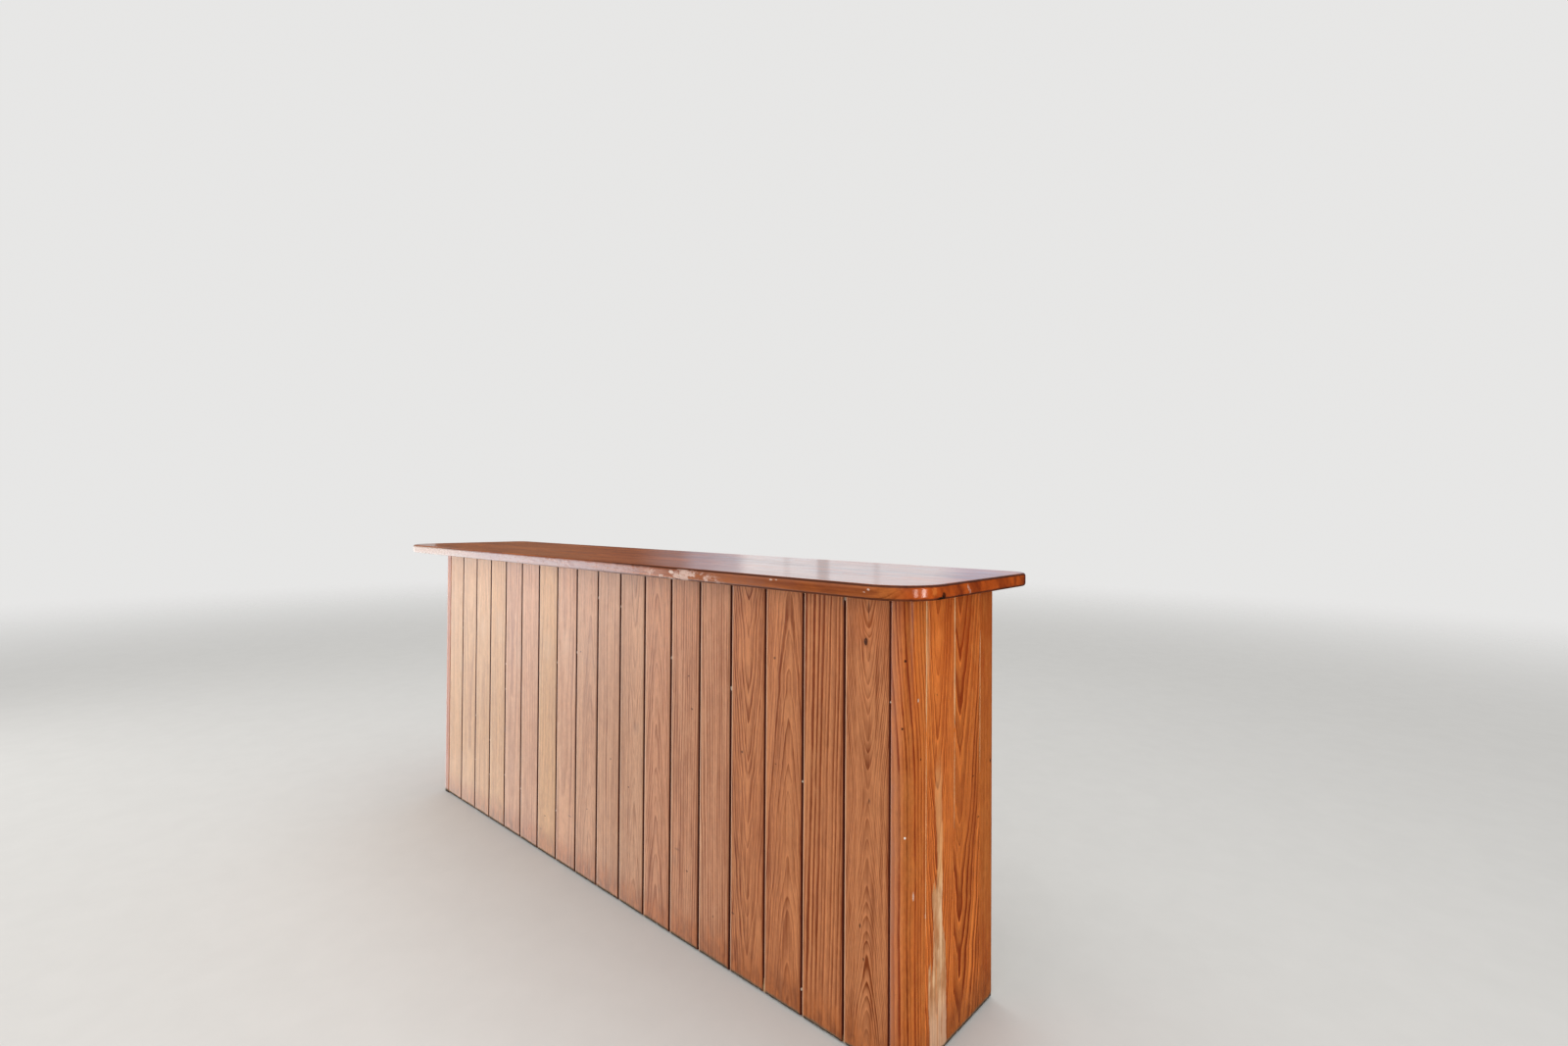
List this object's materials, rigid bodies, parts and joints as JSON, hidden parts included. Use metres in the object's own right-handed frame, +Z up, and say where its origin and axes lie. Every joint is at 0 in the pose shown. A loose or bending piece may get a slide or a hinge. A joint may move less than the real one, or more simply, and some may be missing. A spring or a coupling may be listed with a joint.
{
  "type": "bar counter",
  "caption": "Free-standing straight bar counter: timber frame clad with upright tongue-and-groove boards, rounded glossy plank top, open storage with a shelf at the back.",
  "frame": {"origin": "centre of the countertop's footprint, on the floor", "axes": "+X along the counter, +Y from the guests' side to the working side, +Z up"},
  "size_m": [2.638, 0.56, 1.108],
  "materials": {
    "front_boards": "satin clear varnish on pine boards",
    "end_boards": "satin clear varnish on orange pine boards",
    "countertop": "high gloss varnish on reddish-brown planks",
    "frame": "bare planed framing timber",
    "shelf": "bare planed board"
  },
  "bodies": {
    "root": {"front_board_01": "front_boards", "front_board_02": "front_boards", "front_board_03": "front_boards", "front_board_04": "front_boards", "front_board_05": "front_boards", "front_board_06": "front_boards", "front_board_07": "front_boards", "front_board_08": "front_boards", "front_board_09": "front_boards", "front_board_10": "front_boards", "front_board_11": "front_boards", "front_board_12": "front_boards", "front_board_13": "front_boards", "front_board_14": "front_boards", "front_board_15": "front_boards", "front_board_16": "front_boards", "front_board_17": "front_boards", "front_board_18": "front_boards", "corner_post_left": "end_boards", "corner_post_right": "end_boards", "end_board_left_1": "end_boards", "end_board_left_2": "end_boards", "end_board_left_3": "end_boards", "end_board_right_1": "end_boards", "end_board_right_2": "end_boards", "end_board_right_3": "end_boards", "top_plank_1": "countertop", "top_plank_2": "countertop", "top_plank_3": "countertop", "top_plank_4": "countertop", "bottom_rail_front": "frame", "middle_rails_front": "frame", "top_rail_front": "frame", "studs_front": "frame", "bottom_rail_back": "frame", "top_rail_back": "frame", "studs_back": "frame", "end_rails_left": "frame", "end_rails_right": "frame", "cross_rails": "frame", "shelf": "shelf"}
  },
  "joints": []
}
